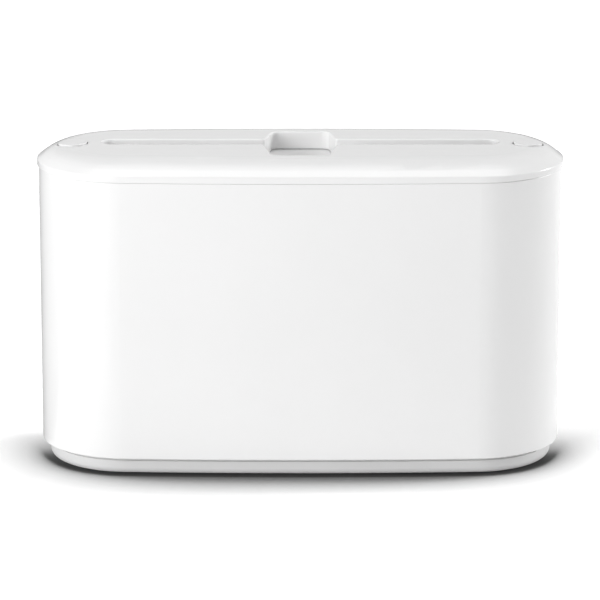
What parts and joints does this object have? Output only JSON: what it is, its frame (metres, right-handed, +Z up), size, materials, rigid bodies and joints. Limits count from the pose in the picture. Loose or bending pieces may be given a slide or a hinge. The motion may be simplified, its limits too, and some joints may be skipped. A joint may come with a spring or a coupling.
{
  "type": "countertop paper towel dispenser",
  "caption": "Tall oval countertop dispenser for folded paper towels: lift-off lid with a long slot, hexagonal finger opening and push-button latches over a sprung platform.",
  "frame": {"origin": "centre of the footprint, on the surface that the feet stand on", "axes": "+X along the long side towards the right end seen from the front, +Y towards the back, +Z up"},
  "size_m": [0.3234, 0.116, 0.1981],
  "materials": {
    "shell_plastic": "smooth white moulding, soft gloss",
    "button_plastic": "smooth white moulding, soft gloss",
    "base_plastic": "light grey moulding, satin",
    "inner_plastic": "plain white moulding",
    "platform_plastic": "plain white moulding",
    "frame_plastic": "plain light grey moulding",
    "slide_plastic": "natural acetal",
    "rod_steel": "drawn steel",
    "spring_steel": "spring wire",
    "screw_steel": "zinc plated",
    "foot_rubber": "soft grey rubber"
  },
  "bodies": {
    "dispenser": {"base_tray": "base_plastic", "rubber_feet": "foot_rubber", "body_shell": "shell_plastic", "body_screws": "screw_steel", "towel_magazine": "inner_plastic", "magazine_screws": "screw_steel", "top_collar": "frame_plastic", "collar_screws": "screw_steel", "guide_rods": "rod_steel", "lift_springs": "spring_steel"},
    "platform": {"lift_platform": "platform_plastic", "platform_bushings": "slide_plastic"},
    "lid": {"lid_cover": "shell_plastic", "housing_screws": "screw_steel", "left_latch_housing": "frame_plastic", "left_latch_pin": "rod_steel", "left_latch_spring": "spring_steel", "right_latch_housing": "frame_plastic", "right_latch_pin": "rod_steel", "right_latch_spring": "spring_steel"},
    "left_button": {"left_release_button": "button_plastic"},
    "left_lever": {"left_latch_lever": "slide_plastic"},
    "right_button": {"right_release_button": "button_plastic"},
    "right_lever": {"right_latch_lever": "slide_plastic"}
  },
  "joints": [
    {"name": "platform_slide", "type": "slide", "parent": "dispenser", "child": "platform", "axis": [0, 0, -1], "range_m": [0, 0.136], "stiffness_N_per_m": 150, "springref_m": -0.03, "deforming": ["lift_springs"]},
    {"name": "lid_lift", "type": "slide", "parent": "dispenser", "child": "lid", "axis": [0, 0, 1], "range_m": [0, 0.08]},
    {"name": "left_button_press", "type": "slide", "parent": "lid", "child": "left_button", "axis": [0, 0, -1], "range_m": [0, 0.0035], "stiffness_N_per_m": 400, "springref_m": -0.003, "deforming": ["left_latch_spring"]},
    {"name": "left_lever_turn", "type": "hinge", "parent": "lid", "child": "left_lever", "pos_m": [-0.1308, 0, 0.1799], "axis": [0, -1, 0], "range_deg": [0, 18.84]},
    {"name": "right_button_press", "type": "slide", "parent": "lid", "child": "right_button", "axis": [0, 0, -1], "range_m": [0, 0.0035], "stiffness_N_per_m": 400, "springref_m": -0.003, "deforming": ["right_latch_spring"]},
    {"name": "right_lever_turn", "type": "hinge", "parent": "lid", "child": "right_lever", "pos_m": [0.1308, 0, 0.1799], "axis": [0, 1, 0], "range_deg": [0, 18.84]}
  ],
  "couplings": [
    {"joint": "left_lever_turn", "follows": "left_button_press", "rad_per_m": 93.458},
    {"joint": "right_lever_turn", "follows": "right_button_press", "rad_per_m": 93.458}
  ]
}
